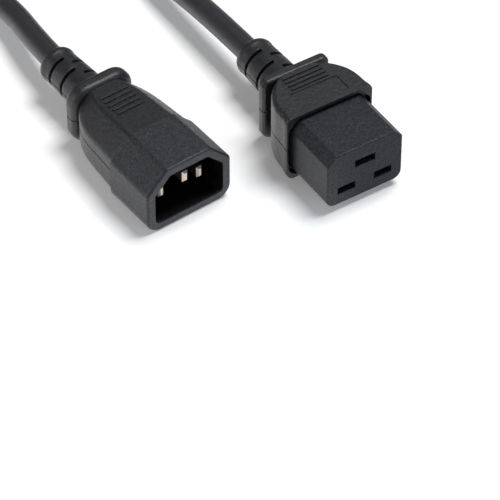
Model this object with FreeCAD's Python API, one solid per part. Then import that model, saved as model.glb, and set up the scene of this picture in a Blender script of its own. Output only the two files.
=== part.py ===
import FreeCAD, Part
import math
import os
from FreeCAD import Vector

os.makedirs("parts", exist_ok=True)

# C14 to C19 power lead, sizes in millimetres.
# The C19 connector lies along Y with its mating face towards -Y and its grip on z = 0.
# The origin is under the middle of the connector. The C14 plug lies beside it on the same surface,
# and the free cord joins the two through a tied coil behind them.

# --- C19 nose (contact carrier) ---
NOSE_W = 26.8
NOSE_H = 19.6
NOSE_CHAMFER = 2.9        # both upper long edges
NOSE_SOFT = 1.2           # rounding where the chamfers meet the top and the sides
NOSE_ROUND = 3.0          # both lower long edges
NOSE_EDGE = 0.5           # rounding round the mating face
NOSE_REACH = 18.9         # length in front of the grip
NOSE_TAIL = 6.1           # length held in the grip
NOSE_FRONT = 1.8          # wall with the three slots
SLOT_PITCH = 13.0         # line to neutral
EARTH_RISE = 8.0          # earth slot above the line and neutral slots
LINE_DROP = 4.4           # line and neutral slots below the middle of the nose
SLOT_H = 2.7
LINE_SLOT_W = 6.3
EARTH_SLOT_W = 7.3
CHAMBER_MARGIN = 0.7      # chamber beyond its slot, each side
CHAMBER_H = 4.6

# --- C19 contacts ---
LEAF_T = 0.45             # folded brass strip
LEAF_W = 5.2
LEAF_GAP = 1.5            # sprung gap, under the 2 mm blade it grips
LEAF_BACK = 3.2           # leaves stand this far from the back of the nose
LEAF_FRONT = 2.2          # leaves start this far behind the front wall
CHAMBER_PLAY = 0.1        # leaf root to chamber wall

# --- crimp barrels, conductors and cores, the same in both ends ---
BARREL_R = 1.4
BARREL_L = 5.0
CONDUCTOR_R = 0.75
CORE_R = 1.3
CORE_START = 0.6          # straight part of a core behind its barrel
FIT = 0.05                # clearance of round pieces in their moulded holes

# --- C19 inner mould ---
INNER_W = 22.6
INNER_H = 15.4
INNER_L = 6.6
INNER_ROUND = 1.5

# --- C19 grip ---
GRIP_W = 30.4
GRIP_H = 24.2
GRIP_L = 17.9             # rim to the finger bar
# How the grip narrows: share of its length from the rim, then share of its width.
GRIP_WIDTHS = [(0.0, 1.0), (0.15, 0.992), (0.29, 0.98), (0.42, 0.966), (0.54, 0.931), (0.65, 0.875),
               (0.75, 0.8), (0.84, 0.71), (0.92, 0.6), (1.0, 0.44)]
GRIP_TOP_ROUND = 1.8
GRIP_LOW_ROUND = 3.0      # at the rim, twice as much at the finger bar
SOLE_CUT = 0.05           # taken off the underside to leave it flat
RIM_GROOVE_W = 1.3
RIM_GROOVE_D = 2.2
BAR_W = 23.8
BAR_H = 23.3
BAR_T = 3.4
BAR_TOP_CORNER = 2.2
BAR_LOW_CORNER = 3.5
BAR_EDGE = 1.1
RIB_COUNT = 4
RIB_PITCH = 1.75
RIB_L = 13.0
RIB_W = 0.9
RIB_H = 0.45
RIB_TO_BAR = 1.8          # last rib to the finger bar
PANEL_W = 17.0
PANEL_L = 7.4
PANEL_D = 0.3
PANEL_TO_RIM = 2.0
PANEL_CORNER = 0.8

# --- strain relief of the C19 grip ---
RELIEF_L = 22.1
RELIEF_ROOT_R = 7.0
RELIEF_TAIL_R = 6.3
RELIEF_END_R = 4.6
RELIEF_NOSE = 3.6         # rounded end
RELIEF_SLOTS = 4
RELIEF_SLOT_PITCH = 3.35
RELIEF_SLOT_W = 1.2
RELIEF_SLOT_FIRST = 4.6   # from the finger bar
RELIEF_WEB = 1.0          # uncut strip along top and bottom
RELIEF_SLEEVE = 0.7       # wall left round the cord under a slot

# --- cord ---
CORD_D = 7.8
JACKET_IN = 23.15         # jacket held inside the connector's tail
PLUG_JACKET_IN = 18.0     # jacket held inside the plug's tail

# --- C14 plug: shroud and pins ---
CAVITY_W = 24.8
CAVITY_H = 17.0
CAVITY_D = 16.5
CAVITY_CHAMFER = 5.6      # both upper long edges
CAVITY_ROUND = 2.0        # both lower long edges
CAVITY_SOFT = 1.0
SHROUD_WALL = 2.8
SHROUD_SOFT = 2.4         # rounding where the chamfers meet the top and the sides
SHROUD_EDGE = 0.7         # rounding round the rim
SHROUD_REACH = 19.0       # in front of the grip
SHROUD_TAIL = 4.0         # held in the grip
SHROUD_STEP = 2.0         # tail inside the shroud's outline, all round
SHROUD_FLOOR = 3.0
PIN_T = 2.0
PIN_H = 4.0
PIN_PITCH = 14.0          # line to neutral
PIN_DROP = 1.1            # line and neutral below the middle of the cavity
PIN_RISE = 4.0            # earth above line and neutral
PIN_TIP = 0.6             # bevel round the tip
LINE_PIN_IN = 4.3         # tip behind the rim
EARTH_PIN_IN = 1.8
PIN_BACK = 25.0           # blade ends this far behind the rim

# --- C14 inner mould ---
BRIDGE_W = 20.0
BRIDGE_H = 12.6
BRIDGE_L = 8.0
BRIDGE_ROUND = 1.5

# --- C14 grip ---
PLUG_GRIP_W = 28.8
PLUG_GRIP_H = 21.9
PLUG_GRIP_L = 24.5
PLUG_GRIP_CHAMFER = 6.8
PLUG_GRIP_ROUND = 4.4     # both lower long edges
PLUG_GRIP_FALL = 0.13     # height lost from the shroud to the guard, as a share
# How the grip narrows: share of its length from the shroud, then share of its width.
PLUG_GRIP_WIDTHS = [(0.0, 1.0), (0.25, 0.968), (0.45, 0.944), (0.65, 0.905), (0.8, 0.84), (0.91, 0.755),
                    (1.0, 0.64)]
GUARD_W = 22.2
GUARD_H = 20.8
GUARD_T = 5.4
GUARD_TOP_CORNER = 6.2
GUARD_LOW_CORNER = 5.6
GUARD_EDGE = 2.0
PLUG_RIB_COUNT = 5
PLUG_RIB_PITCH = 2.2
PLUG_RIB_L = 9.8
PLUG_RIB_TO_GUARD = 5.3
PLUG_RELIEF_L = 21.6
PLUG_RELIEF_ROOT_R = 6.5
PLUG_RELIEF_TAIL_R = 5.9
PLUG_RELIEF_SLOT_FIRST = 5.2
PLUG_RELIEF_SLOT_PITCH = 3.1

# --- where the plug lies ---
PLUG_X = -47.5
PLUG_Y = -8.85
PLUG_TURN = 4.0           # degrees about Z

# --- coil of the spare cord ---
COIL_X = -24.0
COIL_Y = 172.0
COIL_TURN_R = 43.0        # middle turn
COIL_COLUMNS = 3
COIL_LAYERS = 2
# The two ends leave the outer turn in front of its widest points.
# Each lead: side, layer, degrees in front of the widest point, fall in degrees, length.
COIL_LEADS = [(1, 0, 25.0, 0.0, 30.0), (-1, 1, 20.0, 7.0, 30.0)]
TIE_T = 0.8
TIE_W = 9.0
TIE_PLAY = 0.05
TIE_ANGLES = {"coil_tie_left": 125.0, "coil_tie_right": 20.0}

CONNECTOR_ROUTE = [(0, 8, 12.1), (0, 51, 12.1), (-1.63, 99.78, 4.7), (9.36, 123.34, 4.7)]
PLUG_ROUTE = [(-51.16, 43.53, 11.3), (-53.0, 69.8, 11.3), (-52.39, 101.46, 5.55), (-61.55, 126.64, 8.84)]
BEND_SHARE = 0.45         # of the shorter run, used up by each arc

# --- worked out ---
AXIS_Z = GRIP_H / 2
BAR_Y = NOSE_REACH + GRIP_L
RELIEF_Y = BAR_Y + BAR_T
CONNECTOR_L = RELIEF_Y + RELIEF_L
CONNECTOR_FRONT = Vector(0, -CONNECTOR_L / 2, AXIS_Z)
SHROUD_W = CAVITY_W + 2 * SHROUD_WALL
SHROUD_H = CAVITY_H + 2 * SHROUD_WALL
CORNER_SHIFT = 2 - math.sqrt(2)   # a 45 degree chamfer grows by this when its outline grows by 1
SHROUD_CHAMFER = CAVITY_CHAMFER + SHROUD_WALL * CORNER_SHIFT
SHROUD_ROUND = CAVITY_ROUND + SHROUD_WALL
PLUG_AXIS_Z = SHROUD_H / 2
PLUG_FRONT = Vector(PLUG_X, PLUG_Y, PLUG_AXIS_Z)
GUARD_Y = SHROUD_REACH + PLUG_GRIP_L
PLUG_RELIEF_Y = GUARD_Y + GUARD_T
PLUG_L = PLUG_RELIEF_Y + PLUG_RELIEF_L
CORD_R = CORD_D / 2
CORE_RING = 2 * (CORE_R + 2 * FIT) / math.sqrt(3)

# Each end is drawn round its own axis: front at y = 0, +Y towards the cord, +Z up.
# pole: place of the contact or pin, then the angle of its core in the cord.
CONNECTOR_POLES = {
    "line": (-SLOT_PITCH / 2, -LINE_DROP, 210.0),
    "neutral": (SLOT_PITCH / 2, -LINE_DROP, 330.0),
    "earth": (0.0, EARTH_RISE - LINE_DROP, 90.0),
}
PLUG_POLES = {
    "line": (-PIN_PITCH / 2, -PIN_DROP, 210.0),
    "neutral": (PIN_PITCH / 2, -PIN_DROP, 330.0),
    "earth": (0.0, PIN_RISE - PIN_DROP, 90.0),
}


def outline(points, y=0.0):
    """Closed wire in an XZ plane. A point with a third number is a corner rounded to that radius."""
    edges = []
    ends = []
    for i, (x, z, *radius) in enumerate(points):
        here = Vector(x, y, z)
        before = Vector(points[i - 1][0], y, points[i - 1][1]) - here
        after = Vector(points[(i + 1) % len(points)][0], y, points[(i + 1) % len(points)][1]) - here
        if not radius:
            ends.append((here, here))
            continue
        half = before.getAngle(after) / 2
        before.normalize()
        after.normalize()
        reach = radius[0] / math.tan(half)
        inward = (before + after).normalize()
        middle = here + inward * (radius[0] / math.sin(half) - radius[0])
        start, end = here + before * reach, here + after * reach
        edges.append(Part.Arc(start, middle, end).toShape())
        ends.append((start, end))
    for (_, start), (end, _) in zip(ends, ends[1:] + ends[:1]):
        if (end - start).Length > 1e-6:
            edges.append(Part.LineSegment(start, end).toShape())
    return Part.Wire(Part.__sortEdges__(edges))


def prism(points, start, length):
    """Solid of an XZ outline from y = start."""
    return Part.Face(outline(points, start)).extrude(Vector(0, length, 0))


def slab(width, height, start, length, x=0.0, z=0.0, corner=0.0):
    """Box centred on (x, z), with rounded long edges if corner is given."""
    left, right, low, high = x - width / 2, x + width / 2, z - height / 2, z + height / 2
    corners = [(left, low), (right, low), (right, high), (left, high)]
    if corner:
        corners = [(a, b, corner) for a, b in corners]
    return prism(corners, start, length)


def rod(radius, start, length, x=0.0, z=0.0):
    return Part.makeCylinder(radius, length, Vector(x, start, z), Vector(0, 1, 0))


def rounded(shape, radius, chosen):
    """Fillet the edges whose bounding box passes the test."""
    return shape.makeFillet(radius, [e for e in shape.Edges if chosen(e.BoundBox)])


def one(shape):
    """The single solid of a boolean's result."""
    shape = shape.removeSplitter()
    assert len(shape.Solids) == 1, len(shape.Solids)
    return shape.Solids[0]


def bend_path(points, show=""):
    """Wire of straight runs joined by tangent arcs, as large as the runs allow."""
    points = [Vector(*p) for p in points]
    edges, radii = [], []
    last = points[0]
    for before, here, after in zip(points, points[1:], points[2:]):
        back, ahead = before - here, after - here
        turn = math.pi - back.getAngle(ahead)
        reach = BEND_SHARE * min(back.Length, ahead.Length)
        radius = reach / math.tan(turn / 2)
        back.normalize()
        ahead.normalize()
        inward = (back + ahead).normalize()
        start, end = here + back * reach, here + ahead * reach
        middle = here + inward * (radius / math.cos(turn / 2) - radius)
        edges.append(Part.LineSegment(last, start).toShape())
        edges.append(Part.Arc(start, middle, end).toShape())
        radii.append(round(radius, 1))
        last = end
    edges.append(Part.LineSegment(last, points[-1]).toShape())
    if show:
        print(show, "arc radii", radii)
    return Part.Wire(edges)


def tube(points, radius, show=""):
    path = bend_path(points, show)
    first = Vector(*points[0])
    ring = Part.Wire(Part.makeCircle(radius, first, Vector(*points[1]) - first))
    solid = path.makePipeShell([ring], True, False)
    expected = math.pi * radius**2 * path.Length
    assert abs(solid.Volume / expected - 1) < 0.01, (show, solid.Volume, expected)
    if show:
        print(show, "length", round(path.Length, 1), "volume ratio", round(solid.Volume / expected, 4))
    return solid


# --- pieces that both ends share ---

def core_points(pole, start, end):
    """Centre line of one core, from the back of its barrel to the end of the cord's jacket."""
    x, z, angle = pole
    angle = math.radians(angle)
    to_x, to_z = CORE_RING * math.cos(angle), CORE_RING * math.sin(angle)
    straight = (end - start) / 4
    return [(x, start, z), (x, start + straight, z), (to_x, end - straight, to_z), (to_x, end, to_z)]


def core(pole, start, end, clearance=0.0):
    return tube(core_points(pole, start, end), CORE_R + clearance)


def barrel(start, x, z):
    """Crimp barrel closed at its front end, open to the rear for the conductor."""
    return rod(BARREL_R, start, BARREL_L, x, z).cut(rod(CONDUCTOR_R, start + CORE_START, BARREL_L, x, z))


def conductor(barrel_start, x, z):
    return rod(CONDUCTOR_R, barrel_start + CORE_START, BARREL_L - CORE_START, x, z)


def relief(start, length, root_r, tail_r):
    """Tapered tail with a rounded end, turned round the cord's axis."""
    end = start + length
    shoulder = end - RELIEF_NOSE
    swell = (tail_r + RELIEF_END_R) / 2 + 0.5
    corners = [Vector(0, start - 1, 0), Vector(root_r, start - 1, 0), Vector(root_r, start, 0)]
    edges = [Part.LineSegment(a, b).toShape() for a, b in zip(corners, corners[1:])]
    at_shoulder = Vector(tail_r, shoulder, 0)
    over = Vector(swell, end - RELIEF_NOSE * 0.3, 0)
    at_end = Vector(RELIEF_END_R, end, 0)
    axis_end = Vector(0, end, 0)
    edges.append(Part.LineSegment(corners[-1], at_shoulder).toShape())
    edges.append(Part.Arc(at_shoulder, over, at_end).toShape())
    edges.append(Part.LineSegment(at_end, axis_end).toShape())
    edges.append(Part.LineSegment(axis_end, corners[0]).toShape())
    return Part.Face(Part.Wire(edges)).revolve(Vector(0, 0, 0), Vector(0, 1, 0), 360)


def relief_slots(start, first, pitch, reach):
    """Half-ring slots, right and left in turn, that let the tail bend."""
    slots = []
    for i in range(RELIEF_SLOTS):
        y = start + first + i * pitch
        ring = rod(reach, y, RELIEF_SLOT_W).cut(rod(CORD_R + RELIEF_SLEEVE, y, RELIEF_SLOT_W))
        side = 1 if i % 2 == 0 else -1
        half = slab(reach, 2 * reach, y, RELIEF_SLOT_W, x=side * (reach + RELIEF_WEB) / 2)
        slots.append(ring.common(half))
    return slots


def soft_plate(width, height, start, thick, top_corner, low_corner, edge):
    """Finger bar or guard: a plate with rounded corners and rounded edges."""
    half, high = width / 2, height / 2
    corners = [(-half, -high, low_corner), (half, -high, low_corner), (half, high, top_corner),
               (-half, high, top_corner)]
    return rounded(prism(corners, start, thick), edge, lambda box: box.YLength < 0.01)


def chamfered_outline(width, height, chamfer, low_round, soft):
    """Section of a nose or shroud: both upper corners cut off, both lower corners rounded."""
    half, high = width / 2, height / 2
    return [(-half, -high, low_round), (half, -high, low_round), (half, high - chamfer, soft),
            (half - chamfer, high, soft), (-half + chamfer, high, soft), (-half, high - chamfer, soft)]


def cross_ribs(count, pitch, length, last, top, rise=0.0):
    """Raised ribs across the top of a grip, from the last one towards the front. rise: slope of the top."""
    return [slab(length, 2 * RIB_H, last - i * pitch - RIB_W / 2, RIB_W, z=top + rise * i * pitch)
            for i in range(count)]


# --- C19 connector ---

def nose_outline(grow=0.0):
    return chamfered_outline(NOSE_W + 2 * grow, NOSE_H + 2 * grow, NOSE_CHAMFER + grow * CORNER_SHIFT,
                             NOSE_ROUND + grow, NOSE_SOFT + grow)


def nose():
    body = prism(nose_outline(), 0, NOSE_REACH + NOSE_TAIL)
    body = rounded(body, NOSE_EDGE, lambda box: box.YMax < 0.01)
    for name, (x, z, _) in CONNECTOR_POLES.items():
        width = EARTH_SLOT_W if name == "earth" else LINE_SLOT_W
        body = body.cut(slab(width, SLOT_H, -1, NOSE_FRONT + 2, x, z))
        body = body.cut(slab(width + 2 * CHAMBER_MARGIN, CHAMBER_H, NOSE_FRONT, NOSE_REACH + NOSE_TAIL, x, z))
    return one(body)


def contact(x, z):
    """Two sprung leaves folded from one strip, with a web and a crimp barrel behind."""
    back = NOSE_REACH + NOSE_TAIL
    root = back - LEAF_BACK
    front = NOSE_FRONT + LEAF_FRONT
    high = CHAMBER_H / 2 - CHAMBER_PLAY
    pinch = LEAF_GAP / 2
    grip_y = front + (root - front) * 0.28
    leaf = [(root, high), (grip_y, pinch + LEAF_T), (front, high), (front, high - LEAF_T),
            (grip_y, pinch), (root, high - LEAF_T)]
    web = slab(LEAF_W, 2 * high, root - 0.01, LEAF_T + 0.01, x, z)
    neck = slab(2 * CONDUCTOR_R, BARREL_R, root, back - root + CORE_START / 2, x, z)
    shape = web.fuse([neck, barrel(back, x, z)])
    for side in (1, -1):
        wire = Part.makePolygon([Vector(x - LEAF_W / 2, y, z + side * h) for y, h in leaf + leaf[:1]])
        shape = shape.fuse(Part.Face(wire).extrude(Vector(LEAF_W, 0, 0)))
    return one(shape)


def inner_mould(width, height, start, length, corner, poles):
    """Block moulded over the crimps before the grip is moulded over it."""
    block = slab(width, height, start, length, corner=corner)
    holes = [rod(BARREL_R + FIT, start - 1, length + 2, x, z) for x, z, _ in poles.values()]
    return one(block.cut(holes))


def connector_body():
    """Skin through rounded rectangles that narrow from the rim to the finger bar, with a flat underside."""
    high = GRIP_H / 2
    low = -high - SOLE_CUT
    sections = []
    for along, share in GRIP_WIDTHS:
        half, low_round = GRIP_W * share / 2, GRIP_LOW_ROUND * (1 + along)
        section = [(-half, low, low_round), (half, low, low_round), (half, high, GRIP_TOP_ROUND),
                   (-half, high, GRIP_TOP_ROUND)]
        sections.append(outline(section, NOSE_REACH + along * GRIP_L))
    sole = slab(GRIP_W, GRIP_H, NOSE_REACH - 1, GRIP_L + 2, z=-GRIP_H)
    return Part.makeLoft(sections, True).cut(sole)


def connector_grip():
    body = connector_body()
    top = GRIP_H / 2
    body = body.fuse([soft_plate(BAR_W, BAR_H, BAR_Y, BAR_T, BAR_TOP_CORNER, BAR_LOW_CORNER, BAR_EDGE),
                      relief(RELIEF_Y, RELIEF_L, RELIEF_ROOT_R, RELIEF_TAIL_R)])
    body = body.fuse(cross_ribs(RIB_COUNT, RIB_PITCH, RIB_L, BAR_Y - RIB_TO_BAR, top))
    panel = Part.makeBox(PANEL_W, PANEL_L, 2 * PANEL_D,
                         Vector(-PANEL_W / 2, NOSE_REACH + PANEL_TO_RIM, top - PANEL_D))
    panel = rounded(panel, PANEL_CORNER, lambda box: box.ZLength > 2 * PANEL_D - 0.01)
    back = NOSE_REACH + NOSE_TAIL
    jacket = CONNECTOR_L - JACKET_IN
    hollows = [
        panel,
        prism(nose_outline(RIM_GROOVE_W), NOSE_REACH - 1, RIM_GROOVE_D + 1),
        prism(nose_outline(), NOSE_REACH - 1, NOSE_TAIL + 1),
        slab(INNER_W, INNER_H, back - 1, INNER_L + 1, corner=INNER_ROUND),
        rod(CORD_R + FIT, jacket, JACKET_IN + 1),
    ]
    hollows += relief_slots(RELIEF_Y, RELIEF_SLOT_FIRST, RELIEF_SLOT_PITCH, RELIEF_ROOT_R + 1)
    hollows += [core(p, back + BARREL_L, jacket, FIT) for p in CONNECTOR_POLES.values()]
    for hollow in hollows:
        body = body.cut(hollow)
    return one(body)


# --- C14 plug ---

def shroud_outline(less=0.0):
    return chamfered_outline(SHROUD_W - 2 * less, SHROUD_H - 2 * less, SHROUD_CHAMFER - less * CORNER_SHIFT,
                             SHROUD_ROUND - less, SHROUD_SOFT)


def shroud():
    body = prism(shroud_outline(), 0, SHROUD_REACH)
    body = rounded(body, SHROUD_EDGE, lambda box: box.YMax < 0.01)
    body = body.fuse(prism(shroud_outline(SHROUD_STEP), SHROUD_REACH, SHROUD_TAIL))
    cavity = chamfered_outline(CAVITY_W, CAVITY_H, CAVITY_CHAMFER, CAVITY_ROUND, CAVITY_SOFT)
    body = body.cut(prism(cavity, -1, CAVITY_D + 1))
    body = body.cut(slab(BRIDGE_W, BRIDGE_H, CAVITY_D + SHROUD_FLOOR, BRIDGE_L, corner=BRIDGE_ROUND))
    for x, z, _ in PLUG_POLES.values():
        body = body.cut(slab(PIN_T, PIN_H, CAVITY_D - 1, SHROUD_FLOOR + 2, x, z))
    return one(body)


def pin(x, z, tip):
    """Flat blade with a bevelled tip and a crimp barrel behind."""
    blade = slab(PIN_T, PIN_H, tip, PIN_BACK - tip, x, z)
    tip_edges = [e for e in blade.Edges if e.BoundBox.YMax < tip + 0.01]
    return one(blade.makeChamfer(PIN_TIP, tip_edges).fuse(barrel(PIN_BACK, x, z)))


def bridge():
    start = CAVITY_D + SHROUD_FLOOR
    block = slab(BRIDGE_W, BRIDGE_H, start, BRIDGE_L, corner=BRIDGE_ROUND)
    for x, z, _ in PLUG_POLES.values():
        block = block.cut(slab(PIN_T, PIN_H, start - 1, PIN_BACK - start + 1, x, z))
        block = block.cut(rod(BARREL_R + FIT, PIN_BACK, BRIDGE_L, x, z))
    return one(block)


def plug_body():
    """Skin through the shroud's kind of outline as it narrows from the shroud to the guard."""
    sections = []
    for along, share in PLUG_GRIP_WIDTHS:
        section = chamfered_outline(PLUG_GRIP_W * share, PLUG_GRIP_H * (1 - PLUG_GRIP_FALL * along),
                                    PLUG_GRIP_CHAMFER * share, PLUG_GRIP_ROUND, SHROUD_SOFT)
        sections.append(outline(section, SHROUD_REACH + along * PLUG_GRIP_L))
    return Part.makeLoft(sections, True)


def plug_grip():
    guard = soft_plate(GUARD_W, GUARD_H, GUARD_Y, GUARD_T, GUARD_TOP_CORNER, GUARD_LOW_CORNER, GUARD_EDGE)
    tail = relief(PLUG_RELIEF_Y, PLUG_RELIEF_L, PLUG_RELIEF_ROOT_R, PLUG_RELIEF_TAIL_R)
    body = plug_body().fuse([guard, tail])
    slope = PLUG_GRIP_H / 2 * PLUG_GRIP_FALL / PLUG_GRIP_L
    last_rib = GUARD_Y - PLUG_RIB_TO_GUARD
    last_top = PLUG_GRIP_H / 2 - slope * (last_rib - SHROUD_REACH)
    body = body.fuse(cross_ribs(PLUG_RIB_COUNT, PLUG_RIB_PITCH, PLUG_RIB_L, last_rib, last_top, slope))
    jacket = PLUG_L - PLUG_JACKET_IN
    bridge_start = CAVITY_D + SHROUD_FLOOR
    hollows = [
        prism(shroud_outline(SHROUD_STEP), SHROUD_REACH - 1, SHROUD_TAIL + 1),
        slab(BRIDGE_W, BRIDGE_H, bridge_start, BRIDGE_L, corner=BRIDGE_ROUND),
        rod(CORD_R + FIT, jacket, PLUG_JACKET_IN + 1),
    ]
    hollows += relief_slots(PLUG_RELIEF_Y, PLUG_RELIEF_SLOT_FIRST, PLUG_RELIEF_SLOT_PITCH,
                            PLUG_RELIEF_ROOT_R + 1)
    for x, z, angle in PLUG_POLES.values():
        hollows.append(rod(BARREL_R + FIT, PIN_BACK, BARREL_L, x, z))
        hollows.append(core((x, z, angle), PIN_BACK + BARREL_L, jacket, FIT))
    for hollow in hollows:
        body = body.cut(hollow)
    return one(body)


# --- coil and ties ---

def coil():
    """Outer shape of the wound turns, with the two straight leads."""
    section_w = COIL_COLUMNS * CORD_D
    section_h = COIL_LAYERS * CORD_D
    centre = Vector(COIL_X, COIL_Y, 0)
    low = TIE_T
    corners = [(COIL_TURN_R - section_w / 2, low, CORD_R), (COIL_TURN_R + section_w / 2, low, CORD_R),
               (COIL_TURN_R + section_w / 2, low + section_h, CORD_R),
               (COIL_TURN_R - section_w / 2, low + section_h, CORD_R)]
    section = Part.Face(outline(corners))
    ring = section.revolve(Vector(0, 0, 0), Vector(0, 0, 1), 360)
    ring.translate(centre)
    outer_turn = COIL_TURN_R + (COIL_COLUMNS - 1) / 2 * CORD_D
    leads = []
    for side, layer, before, fall, length in COIL_LEADS:
        angle, fall = math.radians(before), math.radians(fall)
        leaves = centre + Vector(side * outer_turn * math.cos(angle), -outer_turn * math.sin(angle),
                                 low + CORD_R + layer * CORD_D)
        heading = Vector(-side * math.sin(angle) * math.cos(fall), -math.cos(angle) * math.cos(fall),
                         -math.sin(fall))
        leads.append(Part.makeCylinder(CORD_R, length, leaves, heading))
        end = leaves + heading * length
        print("coil lead ends at", [round(value, 2) for value in end])
    return one(ring.fuse(leads))


def tie(angle):
    """Strap round the bundle of turns: flat on its four sides, standing under the coil."""
    inner_w = COIL_COLUMNS * CORD_D + 2 * TIE_PLAY
    inner_h = COIL_LAYERS * CORD_D
    middle = TIE_T + inner_h / 2
    outer = slab(inner_w + 2 * TIE_T, inner_h + 2 * TIE_T, -TIE_W / 2, TIE_W, COIL_TURN_R, middle)
    # the strap follows the bend of the bundle on its two upright sides
    bend = [Part.makeCylinder(COIL_TURN_R + side * inner_w / 2, inner_h + 2 * TIE_PLAY,
                              Vector(0, 0, TIE_T - TIE_PLAY)) for side in (1, -1)]
    band = outer.cut(bend[0].cut(bend[1]))
    band = one(band)
    band.rotate(Vector(0, 0, 0), Vector(0, 0, 1), angle)
    band.translate(Vector(COIL_X, COIL_Y, 0))
    return band


# --- put the pieces in place and write them ---

def on_connector(shape):
    shape.translate(CONNECTOR_FRONT)
    return shape


def on_plug(shape):
    shape.rotate(Vector(0, 0, 0), Vector(0, 0, 1), PLUG_TURN)
    shape.translate(PLUG_FRONT)
    return shape


NOSE_BACK = NOSE_REACH + NOSE_TAIL
nodes = {
    "connector_nose": on_connector(nose()),
    "connector_inner_mould": on_connector(
        inner_mould(INNER_W, INNER_H, NOSE_BACK, INNER_L, INNER_ROUND, CONNECTOR_POLES)),
    "connector_grip": on_connector(connector_grip()),
    "plug_shroud": on_plug(shroud()),
    "plug_inner_mould": on_plug(bridge()),
    "plug_grip": on_plug(plug_grip()),
    "connector_cord": tube(CONNECTOR_ROUTE, CORD_R, "connector_cord"),
    "plug_cord": tube(PLUG_ROUTE, CORD_R, "plug_cord"),
    "cord_coil": coil(),
}
for name, (x, z, angle) in CONNECTOR_POLES.items():
    barrel_end = NOSE_BACK + BARREL_L
    nodes[name + "_contact"] = on_connector(contact(x, z))
    nodes[name + "_conductor"] = on_connector(conductor(NOSE_BACK, x, z))
    nodes[name + "_core"] = on_connector(core((x, z, angle), barrel_end, CONNECTOR_L - JACKET_IN))
for name, (x, z, angle) in PLUG_POLES.items():
    barrel_end = PIN_BACK + BARREL_L
    tip = EARTH_PIN_IN if name == "earth" else LINE_PIN_IN
    nodes["plug_" + name + "_pin"] = on_plug(pin(x, z, tip))
    nodes["plug_" + name + "_conductor"] = on_plug(conductor(PIN_BACK, x, z))
    nodes["plug_" + name + "_core"] = on_plug(core((x, z, angle), barrel_end, PLUG_L - PLUG_JACKET_IN))
for name, angle in TIE_ANGLES.items():
    nodes[name] = tie(angle)

for name, shape in nodes.items():
    assert shape.isValid() and len(shape.Solids) == 1, name
    shape.exportStep("parts/" + name + ".step")
    print(name, round(shape.Volume, 1))
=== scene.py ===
import math

import bpy
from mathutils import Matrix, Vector


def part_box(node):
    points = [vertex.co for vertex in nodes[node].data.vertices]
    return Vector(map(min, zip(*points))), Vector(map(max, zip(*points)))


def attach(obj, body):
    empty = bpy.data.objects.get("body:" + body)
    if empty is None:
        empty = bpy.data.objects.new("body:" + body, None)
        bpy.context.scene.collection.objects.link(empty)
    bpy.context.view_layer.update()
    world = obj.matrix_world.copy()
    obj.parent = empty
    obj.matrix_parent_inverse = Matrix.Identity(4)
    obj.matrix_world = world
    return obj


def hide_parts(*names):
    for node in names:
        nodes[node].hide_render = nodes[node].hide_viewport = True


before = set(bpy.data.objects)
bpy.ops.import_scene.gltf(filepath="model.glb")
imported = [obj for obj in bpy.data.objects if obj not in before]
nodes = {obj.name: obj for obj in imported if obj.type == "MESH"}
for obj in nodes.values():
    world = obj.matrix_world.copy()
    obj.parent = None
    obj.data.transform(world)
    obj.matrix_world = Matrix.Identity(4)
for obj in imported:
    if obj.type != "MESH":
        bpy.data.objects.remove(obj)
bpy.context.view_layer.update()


# --- C19 contacts and C14 blades ---
# The contacts are brass strip, stamped, folded and rolled into a crimp barrel at the back. They float in
# the chambers of the nose. The blades are solid brass with a bright nickel plating, moulded in place.

POLES = ("line", "neutral", "earth")
ALONG_Y = (1, 0.04, 1)        # stretches a texture into lines along Y
DRAWN_LINES = 6000            # a metre
DRAWN_DEPTH = 0.000012
DRAWN_SHINE = (-0.08, 0.12)   # added to the roughness, at the smoothest and at the dullest
TARNISH = 300                 # clouds a metre
JOIN_WITHIN = 1e-6
SHARP_EDGE = math.radians(35)


def new_material(name, colour, roughness, metallic=0.0):
    """Material with one shader, and the tools to wire more nodes to it."""
    material = bpy.data.materials.new(name)
    material.use_nodes = True
    tree = material.node_tree
    shader = tree.nodes["Principled BSDF"]
    shader.inputs["Base Color"].default_value = (*colour, 1)
    shader.inputs["Roughness"].default_value = roughness
    shader.inputs["Metallic"].default_value = metallic
    return material, tree, shader


def place(tree, stretch=(1, 1, 1)):
    """Coordinates on the piece itself, stretched where a texture runs one way."""
    where = tree.nodes.new("ShaderNodeTexCoord")
    scale = tree.nodes.new("ShaderNodeMapping")
    scale.inputs["Scale"].default_value = stretch
    tree.links.new(where.outputs["Object"], scale.inputs["Vector"])
    return scale.outputs["Vector"]


def noise(tree, vector, per_metre, detail=2.0):
    """Soft spots, so many a metre."""
    texture = tree.nodes.new("ShaderNodeTexNoise")
    texture.inputs["Scale"].default_value = per_metre
    texture.inputs["Detail"].default_value = detail
    tree.links.new(vector, texture.inputs["Vector"])
    return texture.outputs["Fac"]


def between(tree, value, low, high):
    """The value from 0 to 1, spread from low to high."""
    spread = tree.nodes.new("ShaderNodeMapRange")
    spread.inputs["To Min"].default_value = low
    spread.inputs["To Max"].default_value = high
    tree.links.new(value, spread.inputs["Value"])
    return spread.outputs["Result"]


def mix_colours(tree, value, first, second):
    """From the first colour to the second as the value goes from 0 to 1."""
    mix = tree.nodes.new("ShaderNodeMix")
    mix.data_type = "RGBA"
    mix.inputs["A"].default_value = (*first, 1)
    mix.inputs["B"].default_value = (*second, 1)
    tree.links.new(value, mix.inputs["Factor"])
    return mix.outputs["Result"]


def bump(tree, height, depth, below=None):
    """Surface relief of that depth in metres, on top of another one if given."""
    relief = tree.nodes.new("ShaderNodeBump")
    relief.inputs["Distance"].default_value = depth
    tree.links.new(height, relief.inputs["Height"])
    if below is not None:
        tree.links.new(below, relief.inputs["Normal"])
    return relief.outputs["Normal"]


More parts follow.
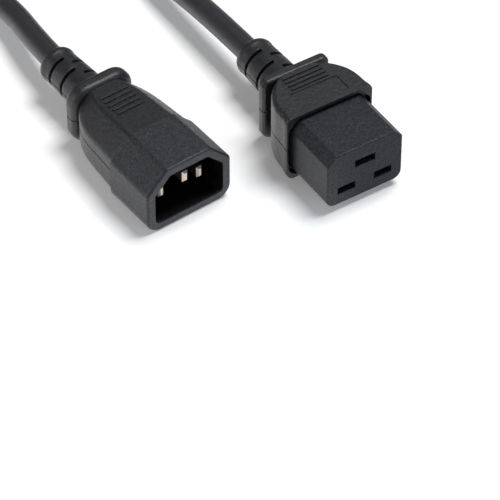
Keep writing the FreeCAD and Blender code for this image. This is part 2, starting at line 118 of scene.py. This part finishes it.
def rolled_metal(name, bright, dark, roughness):
    """Strip, bar or wire with faint drawing lines along Y and darker clouds."""
    material, tree, shader = new_material(name, bright, roughness, metallic=1.0)
    lines = noise(tree, place(tree, ALONG_Y), DRAWN_LINES, 3)
    clouds = noise(tree, place(tree), TARNISH, 3)
    tree.links.new(mix_colours(tree, clouds, bright, dark), shader.inputs["Base Color"])
    satin = between(tree, lines, roughness + DRAWN_SHINE[0], roughness + DRAWN_SHINE[1])
    tree.links.new(satin, shader.inputs["Roughness"])
    tree.links.new(bump(tree, lines, DRAWN_DEPTH), shader.inputs["Normal"])
    return material


def dress(node, material, edge=0.0):
    """Finish of a CAD node, with its sharp edges broken by the given width in metres."""
    piece = nodes[node]
    piece.data.materials.clear()
    piece.data.materials.append(material)
    if edge:
        weld = piece.modifiers.new("joined", "WELD")
        weld.merge_threshold = JOIN_WITHIN
        broken = piece.modifiers.new("broken_edges", "BEVEL")
        broken.width = edge
        broken.segments = 2
        broken.limit_method = "ANGLE"
        broken.angle_limit = SHARP_EDGE
        broken.harden_normals = True


brass = rolled_metal("contact_brass", bright=(0.78, 0.57, 0.25), dark=(0.62, 0.42, 0.16), roughness=0.32)
nickel = rolled_metal("blade_nickel", bright=(0.50, 0.445, 0.39), dark=(0.36, 0.315, 0.27), roughness=0.38)
for pole in POLES:
    dress(pole + "_contact", brass)
    dress("plug_" + pole + "_pin", nickel)


# --- Cores and conductors ---
# Three insulated cores leave the jacket inside each end: brown, light blue, and green with yellow. Each is
# stripped for a few millimetres, where its nineteen twisted copper strands are crimped in the barrel.

CORE_COLOURS = {
    "line": ((0.20, 0.08, 0.035), (0.24, 0.10, 0.05)),
    "neutral": ((0.05, 0.19, 0.52), (0.07, 0.23, 0.58)),
    "earth": ((0.15, 0.42, 0.08), (0.80, 0.68, 0.05)),
}
CORE_ROUGHNESS = 0.45
CORE_CLOUDS = 900                          # a metre
CORE_LINES = 5000                          # a metre
CORE_STRETCH = (1, 0.1, 1)                 # the lines run along Y
CORE_DEPTH = 0.00001
STRAND_RINGS = ((0, 1), (2, 6), (4, 12))   # how many strand radii out, and how many strands there
STRAND_STATIONS = 7                        # points along a strand
LAY = math.radians(50)                     # twist from one end of the bare copper to the other
PLUG_TURN = 4.0                            # degrees, the plug against the connector


def core_insulation(name, colour, second):
    """PVC in two close shades, or in green with yellow, with faint lines along the core."""
    material, tree, shader = new_material(name, colour, CORE_ROUGHNESS)
    clouds = noise(tree, place(tree), CORE_CLOUDS)
    tree.links.new(mix_colours(tree, clouds, colour, second), shader.inputs["Base Color"])
    lines = noise(tree, place(tree, CORE_STRETCH), CORE_LINES)
    tree.links.new(bump(tree, lines, CORE_DEPTH), shader.inputs["Normal"])
    return material


def bare_strands(name, middle, length, radius, turn):
    """Bunch of strands round its own axis, which lies level and is turned from +Y by the given degrees."""
    bunch = bpy.data.curves.new(name, "CURVE")
    bunch.dimensions = "3D"
    bunch.bevel_depth = radius / (STRAND_RINGS[-1][0] + 1)
    bunch.bevel_resolution = 1
    bunch.use_fill_caps = True
    for radii_out, count in STRAND_RINGS:
        out = radii_out * bunch.bevel_depth
        for k in range(count):
            strand = bunch.splines.new("POLY")
            strand.points.add(STRAND_STATIONS - 1)
            for i, point in enumerate(strand.points):
                share = i / (STRAND_STATIONS - 1)
                angle = 2 * math.pi * k / count + LAY * share
                point.co = (out * math.cos(angle), (share - 0.5) * length, out * math.sin(angle), 1)
    piece = bpy.data.objects.new(name, bunch)
    piece.location = middle
    piece.rotation_euler = (0, 0, math.radians(turn))
    bpy.context.scene.collection.objects.link(piece)
    bunch.materials.append(copper)
    return piece


copper = rolled_metal("strand_copper", bright=(0.80, 0.42, 0.25), dark=(0.66, 0.30, 0.17), roughness=0.35)
strands = {}
for pole in POLES:
    insulation = core_insulation(pole + "_core_pvc", *CORE_COLOURS[pole])
    low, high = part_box(pole + "_conductor")
    for end, turn in (("", 0.0), ("plug_", PLUG_TURN)):
        dress(end + pole + "_core", insulation)
        node = end + pole + "_conductor"
        middle = sum(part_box(node), Vector()) / 2
        bunch = bare_strands(node + "_strands", middle, high.y - low.y, (high.x - low.x) / 2, turn)
        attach(bunch, "root")
        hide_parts(node)
        strands[node] = bunch


# --- Inner moulds ---
# A first shot of plastic holds the three crimps in place behind the nose, or behind the shroud, while the
# grip is moulded over it.

MELT_CLOUDS = 140             # cloudy patches a metre
DARK_PATCH_SIZE = 2.2             # times the size of a spot of the grain
DARK_PATCHES = (0.56, 0.40)        # noise at which a darker patch starts, and at which it is full
DARK_PATCH_SHARE = 0.72           # of the colour
# The paler high spots of the grain are a painted highlight on its peaks.
HIGH_SPOTS = (0.52, 0.68)     # noise at which a high spot starts, and at which it is full
PEAK_HIGHLIGHT_SHARE = 1.8            # of the paler colour
SHINE_SPREAD = 0.14           # of the roughness, from the hollows to the high spots
SWELL_SIZE = 3                # times the size of a spot of the grain, for the low relief under it
SWELL_DEPTH = 2               # times the depth of the grain


def blend_in(tree, value, low, high):
    """0 below the low value, 1 above the high one, and a soft step from one to the other."""
    step = tree.nodes.new("ShaderNodeMapRange")
    step.interpolation_type = "SMOOTHSTEP"
    step.inputs["From Min"].default_value = low
    step.inputs["From Max"].default_value = high
    tree.links.new(value, step.inputs["Value"])
    return step.outputs["Result"]


def overlay(tree, value, below, colour):
    """The colour laid over what is below, as far as the value says."""
    mix = tree.nodes.new("ShaderNodeMix")
    mix.data_type = "RGBA"
    mix.inputs["B"].default_value = (*colour, 1)
    tree.links.new(value, mix.inputs["Factor"])
    tree.links.new(below, mix.inputs["A"])
    return mix.outputs["Result"]


def shaded(colour, share):
    """The colour made darker or paler."""
    return [share * value for value in colour]


def moulded_plastic(name, colour, paler, grain, depth, roughness, gloss):
    """Black moulding: spark-eroded grain of that many spots a metre, darker patches at random, its high
    spots made paler by a painted highlight, and faint cloudy patches where the melt met."""
    material, tree, shader = new_material(name, colour, roughness)
    shader.inputs["Specular IOR Level"].default_value = gloss
    fine = noise(tree, place(tree), grain, 3)
    clouds = noise(tree, place(tree), MELT_CLOUDS, 4)
    cloudy = mix_colours(tree, clouds, colour, paler)
    dark_patches = blend_in(tree, noise(tree, place(tree), grain / DARK_PATCH_SIZE), *DARK_PATCHES)
    mottled = overlay(tree, dark_patches, cloudy, shaded(colour, DARK_PATCH_SHARE))
    # Painted highlight: the high spots of the fine grain are made paler.
    spots = blend_in(tree, fine, *HIGH_SPOTS)
    painted_peak_highlight = overlay(tree, spots, mottled, shaded(paler, PEAK_HIGHLIGHT_SHARE))
    tree.links.new(painted_peak_highlight, shader.inputs["Base Color"])
    satin = between(tree, fine, roughness + SHINE_SPREAD, roughness - SHINE_SPREAD)
    tree.links.new(satin, shader.inputs["Roughness"])
    swell = bump(tree, noise(tree, place(tree), grain / SWELL_SIZE), depth * SWELL_DEPTH)
    tree.links.new(bump(tree, fine, depth, swell), shader.inputs["Normal"])
    return material, tree, shader


inner_plastic, _, _ = moulded_plastic("inner_mould_plastic", colour=(0.028, 0.028, 0.029),
                                      paler=(0.04, 0.04, 0.04), grain=2500, depth=0.00001,
                                      roughness=0.5, gloss=0.5)
for node in ("connector_inner_mould", "plug_inner_mould"):
    dress(node, inner_plastic)


# --- C19 nose ---
# The contact carrier is one hard nylon moulding with three slots in its face. Its finish is smoother than
# the grip's, and it stands in a narrow channel in the rim of the grip.

carrier_nylon, _, _ = moulded_plastic("carrier_nylon", colour=(0.0178, 0.0185, 0.0222),
                                      paler=(0.0248, 0.0258, 0.0304), grain=2400, depth=0.00004,
                                      roughness=0.48, gloss=0.22)
dress("connector_nose", carrier_nylon, edge=0.0003)


# --- C14 shroud ---
# The shroud is a hard nylon moulding, open round the three blades, with two corners cut off so that it
# enters an outlet one way up only. It is grained all over, and the walls and floor of its cavity are painted
# near black: painted shade deep in the recess.

PLUG_AT = (-0.0475, -0.00885, 0.0113)   # middle of the cavity's mouth
CAVITY_W = 0.0248
CAVITY_H = 0.017
CAVITY_CORNER = 0.0056                  # cut off both upper corners
CAVITY_SPARE = 0.0003                   # the painted shade reaches this far past the walls
# Near-black colour painted on the cavity as shade.
CAVITY_PAINTED_SHADE = (0.003, 0.003, 0.0032)


def arithmetic(tree, operation, *values):
    """One sum on sockets or numbers."""
    node = tree.nodes.new("ShaderNodeMath")
    node.operation = operation
    for socket, value in zip(node.inputs, values):
        if isinstance(value, (int, float)):
            socket.default_value = value
        else:
            tree.links.new(value, socket)
    return node.outputs["Value"]


def cavity_shade_mask(tree):
    """Mask of the painted shade: 1 on the walls and floor of the cavity, measured on the plug's own axes, and
    0 outside it.
    """
    own = tree.nodes.new("ShaderNodeMapping")
    own.vector_type = "TEXTURE"
    own.inputs["Location"].default_value = PLUG_AT
    own.inputs["Rotation"].default_value = (0, 0, math.radians(PLUG_TURN))
    tree.links.new(place(tree), own.inputs["Vector"])
    split = tree.nodes.new("ShaderNodeSeparateXYZ")
    tree.links.new(own.outputs["Vector"], split.inputs["Vector"])
    aside = arithmetic(tree, "ABSOLUTE", split.outputs["X"])
    height = arithmetic(tree, "ABSOLUTE", split.outputs["Z"])
    to_the_corner = arithmetic(tree, "ADD", aside, split.outputs["Z"])
    corner_at = (CAVITY_W + CAVITY_H) / 2 - CAVITY_CORNER
    in_width = arithmetic(tree, "LESS_THAN", aside, CAVITY_W / 2 + CAVITY_SPARE)
    in_height = arithmetic(tree, "LESS_THAN", height, CAVITY_H / 2 + CAVITY_SPARE)
    in_corner = arithmetic(tree, "LESS_THAN", to_the_corner, corner_at + 2 * CAVITY_SPARE)
    behind_rim = arithmetic(tree, "GREATER_THAN", split.outputs["Y"], 2 * CAVITY_SPARE)
    across = arithmetic(tree, "MULTIPLY", in_width, in_height)
    return arithmetic(tree, "MULTIPLY", across, arithmetic(tree, "MULTIPLY", in_corner, behind_rim))


shroud_nylon, tree, shader = moulded_plastic("shroud_nylon", colour=(0.0228, 0.0235, 0.0278),
                                             paler=(0.0305, 0.0315, 0.0368), grain=2400, depth=0.00004,
                                             roughness=0.46, gloss=0.28)
grained = shader.inputs["Base Color"].links[0].from_socket
# Painted shade: the cavity's walls and floor get a near-black colour, standing in for the shade deep inside.
tree.links.new(overlay(tree, cavity_shade_mask(tree), grained, CAVITY_PAINTED_SHADE), shader.inputs["Base Color"])
dress("plug_shroud", shroud_nylon, edge=0.0003)


# --- Grips ---
# Each grip is soft PVC, moulded in one piece over the carrier, the crimps and the end of the jacket, with
# a finger bar, cross ribs and a slotted strain relief that bends with the cord. The tool's two halves meet
# at mid-height and leave a fine parting line all round, a shallow groove whose near-black colour is
# painted shade.

LINE_W = 0.00028              # half the width of the parting line
LINE_SOFTNESS = 0.2           # of its edges, as a share of that
LINE_DEPTH = 0.0004
LINE_DRIFT = 0.00015          # up and down, as the line wanders
LINE_WAVES = 40               # a metre
LINE_DULLNESS = 0.5           # more roughness than beside it
# Near-black colour of the parting line: painted shade in its groove.
LINE_PAINTED_SHADE = (0.002, 0.002, 0.002)
CONNECTOR_LINE_Z = 0.0123
PLUG_LINE_Z = 0.0112


def parting_line(tree, height):
    """1 on the line where the two halves of the tool met, falling to 0 beside it. It wanders a little."""
    split = tree.nodes.new("ShaderNodeSeparateXYZ")
    tree.links.new(place(tree), split.inputs["Vector"])
    drift = between(tree, noise(tree, place(tree), LINE_WAVES, 1), -LINE_DRIFT, LINE_DRIFT)
    line_z = arithmetic(tree, "ADD", drift, height)
    away = arithmetic(tree, "ABSOLUTE", arithmetic(tree, "SUBTRACT", split.outputs["Z"], line_z))
    beside = arithmetic(tree, "SMOOTH_MIN", arithmetic(tree, "DIVIDE", away, LINE_W), 1.0, LINE_SOFTNESS)
    return arithmetic(tree, "SUBTRACT", 1.0, beside)


def grip_finish(name, line_height):
    """Grained soft PVC with its parting line at that height, the line's groove painted near black as painted
    shade.
    """
    material, tree, shader = moulded_plastic(name, colour=(0.0095, 0.0099, 0.0122),
                                             paler=(0.0138, 0.0144, 0.0174), grain=2300, depth=0.00006,
                                             roughness=0.47, gloss=0.5)
    line = parting_line(tree, line_height)
    plain = shader.inputs["Base Color"].links[0].from_socket
    # Painted shade: the parting line's groove is painted near black.
    tree.links.new(overlay(tree, line, plain, LINE_PAINTED_SHADE), shader.inputs["Base Color"])
    satin = shader.inputs["Roughness"].links[0].from_socket
    dull = arithmetic(tree, "ADD", satin, arithmetic(tree, "MULTIPLY", line, LINE_DULLNESS))
    tree.links.new(dull, shader.inputs["Roughness"])
    grain = shader.inputs["Normal"].links[0].from_socket
    groove = bump(tree, arithmetic(tree, "SUBTRACT", 1.0, line), LINE_DEPTH, grain)
    tree.links.new(groove, shader.inputs["Normal"])
    return material


dress("connector_grip", grip_finish("connector_grip_pvc", CONNECTOR_LINE_Z), edge=0.0002)
dress("plug_grip", grip_finish("plug_grip_pvc", PLUG_LINE_Z), edge=0.0002)


# --- Cord and its ties ---
# Round black PVC jacket, 7.8 mm across and 1.8 m long, from the C19 grip back to a coil of 5.6 turns, and
# forward again to the plug. Two hook-and-loop straps hold the turns: each goes once round the bundle and
# presses its tail down on its own start.

CORD_D = 0.0078
AXIS_Z = 0.0121                         # of the connector
CONNECTOR_ROUTE = [(0, 0.008, AXIS_Z), (0, 0.051, AXIS_Z), (-0.00163, 0.09978, 0.0047),
                   (0.00936, 0.12334, 0.0047)]
PLUG_ROUTE = [(-0.0656, 0.1377, 0.0125), (-0.0600, 0.12664, 0.00884), (-0.0478, 0.1005, 0.00565),
              (-0.0526, 0.0665, 0.0113), (-0.05116, 0.04353, 0.0113)]
COIL_CENTRE = Vector((-0.024, 0.172, 0))
COIL_TURN_R = 0.043                     # middle of the three columns
COIL_START = -25.0                      # degrees
COIL_END = 200.0 + 5 * 360
COIL_POINTS = 112
COIL_STATIONS = [(0, 0), (1, 0), (2, 0), (2, 1), (1, 1), (0, 1)]   # column from the outer, and layer
JOG = (220.0, 320.0)                    # degrees, where the cord moves over to the next station
CLIMB_IN = 0.37                         # the turn that climbs bulges this share of a diameter inwards
TIE_UNDER = 0.0008                      # room for the straps between the coil and the floor
JACKET_BLACK = (0.0195, 0.0195, 0.0235)
JACKET_PALE = (0.0270, 0.0271, 0.0318)
JACKET_CLOUDS = 220                     # a metre
JACKET_SHINE = (0.36, 0.5)              # roughness, at the smoothest and at the dullest
JACKET_GRAIN = 3000                     # a metre
JACKET_GRAIN_DEPTH = 0.00001
CORE_SWELL = 250                        # low bumps of the cores, a metre
CORE_SWELL_DEPTH = 0.00006

STRAP_T = 0.0007
STRAP_W = 0.009
STRAP_GAP = 0.00003                     # between the strap and the turns
STRAP_START = 0.003                     # from the middle of the top of the bundle
STRAP_STRIPS = (150, 7)                 # along and across
STRAP_EDGE = 0.00012
TAIL = 0.015                            # pressed on the strap's own start
TAIL_STEP = 0.006                       # length over which the tail climbs onto it
TAIL_GAP = 0.00008
TIP_ROUND = 0.005                       # length over which the tail narrows to its round tip
TIP_LEAST = 0.02                        # squared share of the width that is left at the very end
TIES = {"coil_tie_left": 125.0, "coil_tie_right": 20.0}            # degrees round the coil
STRAP_BLACK = (0.010, 0.010, 0.011)
STRAP_PALE = (0.030, 0.030, 0.032)
STRAP_ROUGHNESS = 0.8
STRAP_RIBS = 520                        # scale of the weave
STRAP_RIB_DEPTH = 0.00012
STRAP_LOOPS = 3200                      # a metre
STRAP_LOOP_DEPTH = 0.00015
FLAT = CORD_D                           # half the flat top of the bundle
CORNER = math.pi / 2 * CORD_D / 2
BUNDLE = ((FLAT, False), (CORNER, True), (FLAT, False), (CORNER, True), (2 * FLAT, False),
          (CORNER, True), (FLAT, False), (CORNER, True), (FLAT, False))    # lengths, and if they bend
LAP = sum(length for length, _ in BUNDLE)


def ease(share):
    """From 0 to 1 with a soft start and end."""
    return share * share * (3 - 2 * share)


def coil_point(degrees, step):
    """Point on the coil at that angle, set out so that a spline with such steps runs on the radius."""
    turn = math.floor((degrees - JOG[0]) / 360)
    share = (degrees - JOG[0] - 360 * turn) / (JOG[1] - JOG[0])
    share = min(share, 1.0)
    last = len(COIL_STATIONS) - 1
    here = COIL_STATIONS[max(0, min(turn, last))]
    there = COIL_STATIONS[max(0, min(turn + 1, last))]
    column = here[0] + (there[0] - here[0]) * ease(share)
    layer = here[1] + (there[1] - here[1]) * ease(share)
    if here[1] != there[1]:
        column += CLIMB_IN * math.sin(math.pi * share)
    radius = (COIL_TURN_R + (1 - column) * CORD_D) / math.cos(math.radians(step / 2))
    angle = math.radians(degrees)
    height = TIE_UNDER + CORD_D / 2 + layer * CORD_D
    return COIL_CENTRE + Vector((radius * math.cos(angle), radius * math.sin(angle), height))


def cord_jacket():
    """Satin PVC with faint grain and the low bumps of the cores under it."""
    material, tree, shader = new_material("cord_jacket_pvc", JACKET_BLACK, JACKET_SHINE[0])
    clouds = noise(tree, place(tree), JACKET_CLOUDS, 4)
    tree.links.new(mix_colours(tree, clouds, JACKET_BLACK, JACKET_PALE), shader.inputs["Base Color"])
    tree.links.new(between(tree, clouds, *JACKET_SHINE), shader.inputs["Roughness"])
    swell = bump(tree, noise(tree, place(tree), CORE_SWELL, 1), CORE_SWELL_DEPTH)
    fine = noise(tree, place(tree), JACKET_GRAIN, 3)
    tree.links.new(bump(tree, fine, JACKET_GRAIN_DEPTH, swell), shader.inputs["Normal"])
    return material


step = (COIL_END - COIL_START) / COIL_POINTS
turns = [coil_point(COIL_START + (i + 0.5) * step, step) for i in range(COIL_POINTS)]
cord_points = CONNECTOR_ROUTE + turns + PLUG_ROUTE
line = bpy.data.curves.new("cord", "CURVE")
line.dimensions = "3D"
line.bevel_depth = CORD_D / 2
line.bevel_resolution = 7
line.resolution_u = 8
line.use_fill_caps = True
spline = line.splines.new("NURBS")
spline.points.add(len(cord_points) - 1)
for point, at in zip(spline.points, cord_points):
    point.co = (*at, 1)
spline.order_u = 3
spline.use_endpoint_u = True
cord = bpy.data.objects.new("cord", line)
bpy.context.scene.collection.objects.link(cord)
line.materials.append(cord_jacket())
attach(cord, "root")
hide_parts("connector_cord", "cord_coil", "plug_cord")


def round_the_bundle(way, out):
    """Point in the section of the bundle, as its distance from the middle of the turns and its height. The
    way runs along the bundle's outline from the middle of its top, and the point lies that far out."""
    way %= LAP
    x, z, heading = 0.0, CORD_D, 0.0
    for length, bends in BUNDLE:
        gone = min(way, length)
        if bends:
            turn = gone / (CORD_D / 2)
            x += CORD_D / 2 * (math.sin(heading + turn) - math.sin(heading))
            z += CORD_D / 2 * (math.cos(heading + turn) - math.cos(heading))
            heading += turn
        else:
            x += gone * math.cos(heading)
            z -= gone * math.sin(heading)
        way -= gone
        if way <= 0:
            break
    return x + out * math.sin(heading), z + out * math.cos(heading)


def strap_row(way, degrees, across):
    """One row of points across the strap, each with its place along and across the flat strap."""
    climbed = ease(min(1.0, max(0.0, (way - LAP + TAIL_STEP) / TAIL_STEP)))
    out = STRAP_GAP + STRAP_T / 2 + climbed * (STRAP_T + TAIL_GAP)
    left = LAP + TAIL - way
    narrow = 1.0
    if left < TIP_ROUND:
        narrow = math.sqrt(max(TIP_LEAST, 1 - (1 - left / TIP_ROUND) ** 2))
    x, z = round_the_bundle(way + STRAP_START, out)
    radius = COIL_TURN_R + x
    row = []
    for j in range(across + 1):
        side = STRAP_W * (j / across - 0.5) * narrow
        angle = math.radians(degrees) + side / radius
        spot = (COIL_CENTRE.x + radius * math.cos(angle), COIL_CENTRE.y + radius * math.sin(angle),
                TIE_UNDER + CORD_D + z)
        row.append((spot, (way, side)))
    return row


def tie_strap(name, degrees):
    """Strap as a ribbon of narrow strips, thickened by a modifier, with its weave laid out in its own map."""
    along, across = STRAP_STRIPS
    rows = [strap_row((LAP + TAIL) * i / along, degrees, across) for i in range(along + 1)]
    points = [point for row in rows for point in row]
    wide = across + 1
    faces = [(i * wide + j, i * wide + j + 1, (i + 1) * wide + j + 1, (i + 1) * wide + j)
             for i in range(along) for j in range(across)]
    mesh = bpy.data.meshes.new(name)
    mesh.from_pydata([spot for spot, where in points], [], faces)
    layout = mesh.uv_layers.new(name="along_and_across")
    for loop in mesh.loops:
        layout.data[loop.index].uv = points[loop.vertex_index][1]
    for face in mesh.polygons:
        face.use_smooth = True
    strap = bpy.data.objects.new(name, mesh)
    bpy.context.scene.collection.objects.link(strap)
    thick = strap.modifiers.new("thickness", "SOLIDIFY")
    thick.thickness = STRAP_T
    thick.offset = 0
    soft = strap.modifiers.new("soft_edges", "BEVEL")
    soft.width = STRAP_EDGE
    soft.segments = 2
    soft.limit_method = "ANGLE"
    return strap


def woven_loops():
    """Black nylon: fine ribs of the weave along and across, under a haze of tiny loops."""
    material, tree, shader = new_material("strap_nylon", STRAP_BLACK, STRAP_ROUGHNESS)
    shader.inputs["Sheen Weight"].default_value = 0.25
    shader.inputs["Sheen Roughness"].default_value = 0.5
    along_and_across = tree.nodes.new("ShaderNodeTexCoord").outputs["UV"]
    ribs = []
    for direction in ("X", "Y"):
        wave = tree.nodes.new("ShaderNodeTexWave")
        wave.bands_direction = direction
        wave.inputs["Scale"].default_value = STRAP_RIBS
        wave.inputs["Distortion"].default_value = 1.2
        wave.inputs["Detail Scale"].default_value = 2.0
        tree.links.new(along_and_across, wave.inputs["Vector"])
        ribs.append(wave.outputs["Fac"])
    weave = bump(tree, arithmetic(tree, "MULTIPLY", *ribs), STRAP_RIB_DEPTH)
    loops = noise(tree, place(tree), STRAP_LOOPS, 4)
    tree.links.new(mix_colours(tree, loops, STRAP_BLACK, STRAP_PALE), shader.inputs["Base Color"])
    tree.links.new(bump(tree, loops, STRAP_LOOP_DEPTH, weave), shader.inputs["Normal"])
    return material


strap_nylon = woven_loops()
for node, degrees in TIES.items():
    strap = tie_strap(node + "_strap", degrees)
    strap.data.materials.append(strap_nylon)
    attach(strap, "root")
    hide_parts(node)

on_the_cord = [nodes["plug_" + name] for name in ("shroud", "grip", "inner_mould")]
on_the_cord += [nodes["plug_" + pole + "_" + name] for pole in POLES for name in ("pin", "core")]
on_the_cord += [strands["plug_" + pole + "_conductor"] for pole in POLES]


# --- Floor, light and camera ---
# A pale sheet under the lead, evenly bright as it is seen. In reflections alone it glows, most in a band
# along X: a painted reflection that lightens the left sides of the mouldings. Large soft lamps, and a long
# lens that looks down on both ends.

FLOOR_HALF = 3.0
FLOOR_Z = -0.0001             # just under the soles, so that the two never share a plane
SEEN_GLOW = 0.18              # of the sheet as it is seen
PAINTED_REFLECTION_GLOW = 0.85              # glow of the sheet in reflections alone: a painted reflection
PAINTED_REFLECTION_RIGHT = (-0.012, 0.004)  # where that fades out, along X
PAINTED_REFLECTION_LEFT = (-0.085, -0.06)   # where it falls to a share of itself, along X
PAINTED_REFLECTION_LEFT_SHARE = 0.6
ROOM_GLOW = 0.16
WHITE = 1.0
LAMP_AIM = (-0.03, 0.0, 0.01)
CAMERA_AIM = Vector((-0.04735, -0.04155, 0.0122))
AZIMUTH = math.radians(-32.9)
ELEVATION = math.radians(44.5)
DISTANCE = 1.0135
LENS = 252                    # mm, on a sensor 36 mm wide


def lamp(name, at, size, watts, colour=(1, 1, 1)):
    """Large soft lamp, turned towards the two ends."""
    light = bpy.data.lights.new(name, "AREA")
    light.shape = "RECTANGLE"
    light.size, light.size_y = size
    light.energy = watts
    light.color = colour
    holder = bpy.data.objects.new(name, light)
    holder.location = at
    holder.rotation_euler = (Vector(LAMP_AIM) - Vector(at)).to_track_quat("-Z", "Y").to_euler()
    bpy.context.scene.collection.objects.link(holder)


paper, tree, shader = new_material("paper", (0.86, 0.86, 0.86), 0.9)
shader.inputs["Specular IOR Level"].default_value = 0.1
shader.inputs["Emission Color"].default_value = (1, 1, 1, 1)
ray = tree.nodes.new("ShaderNodeLightPath")
split = tree.nodes.new("ShaderNodeSeparateXYZ")
tree.links.new(place(tree), split.inputs["Vector"])
# Painted reflection: the sheet glows for reflected rays alone, fading out along X, to lighten the left sides
# of the mouldings.
right_fade = between(tree, blend_in(tree, split.outputs["X"], *PAINTED_REFLECTION_RIGHT), PAINTED_REFLECTION_GLOW, 0.0)
left_fade = between(tree, blend_in(tree, split.outputs["X"], *PAINTED_REFLECTION_LEFT), PAINTED_REFLECTION_LEFT_SHARE, 1.0)
painted_reflection_band = arithmetic(tree, "MULTIPLY", right_fade, left_fade)
painted_reflection_glow = arithmetic(tree, "MULTIPLY", ray.outputs["Is Glossy Ray"], painted_reflection_band)
seen_glow = arithmetic(tree, "MULTIPLY", ray.outputs["Is Camera Ray"], SEEN_GLOW)
tree.links.new(arithmetic(tree, "ADD", seen_glow, painted_reflection_glow), shader.inputs["Emission Strength"])

floor_mesh = bpy.data.meshes.new("floor")
corners = [(x * FLOOR_HALF, y * FLOOR_HALF, FLOOR_Z) for x, y in ((-1, -1), (1, -1), (1, 1), (-1, 1))]
floor_mesh.from_pydata(corners, [], [(0, 1, 2, 3)])
floor_mesh.materials.append(paper)
floor = bpy.data.objects.new("floor", floor_mesh)
bpy.context.scene.collection.objects.link(floor)

world = bpy.data.worlds.new("studio")
bpy.context.scene.world = world
world.use_nodes = True
tree = world.node_tree
room = tree.nodes["Background"]
room.inputs["Color"].default_value = (1, 1, 1, 1)
ray = tree.nodes.new("ShaderNodeLightPath")
level = between(tree, ray.outputs["Is Camera Ray"], ROOM_GLOW, WHITE)
tree.links.new(level, room.inputs["Strength"])

lamp("key", at=(0.52, 0.0, 1.6), size=(0.7, 0.7), watts=26.0)
lamp("left", at=(-1.0, 0.3, 0.35), size=(0.6, 0.5), watts=3.0)
lamp("front", at=(0.35, -1.0, 0.3), size=(0.6, 0.3), watts=2.4, colour=(0.42, 0.64, 1.0))

camera_data = bpy.data.cameras.new("camera")
camera_data.lens = LENS
camera_data.sensor_width = 36
camera = bpy.data.objects.new("camera", camera_data)
back = Vector((math.sin(AZIMUTH) * math.cos(ELEVATION), -math.cos(AZIMUTH) * math.cos(ELEVATION),
               math.sin(ELEVATION)))
camera.location = CAMERA_AIM + back * DISTANCE
camera.rotation_euler = back.to_track_quat("Z", "Y").to_euler()
bpy.context.scene.collection.objects.link(camera)
bpy.context.scene.camera = camera
bpy.context.scene.view_settings.view_transform = "Standard"
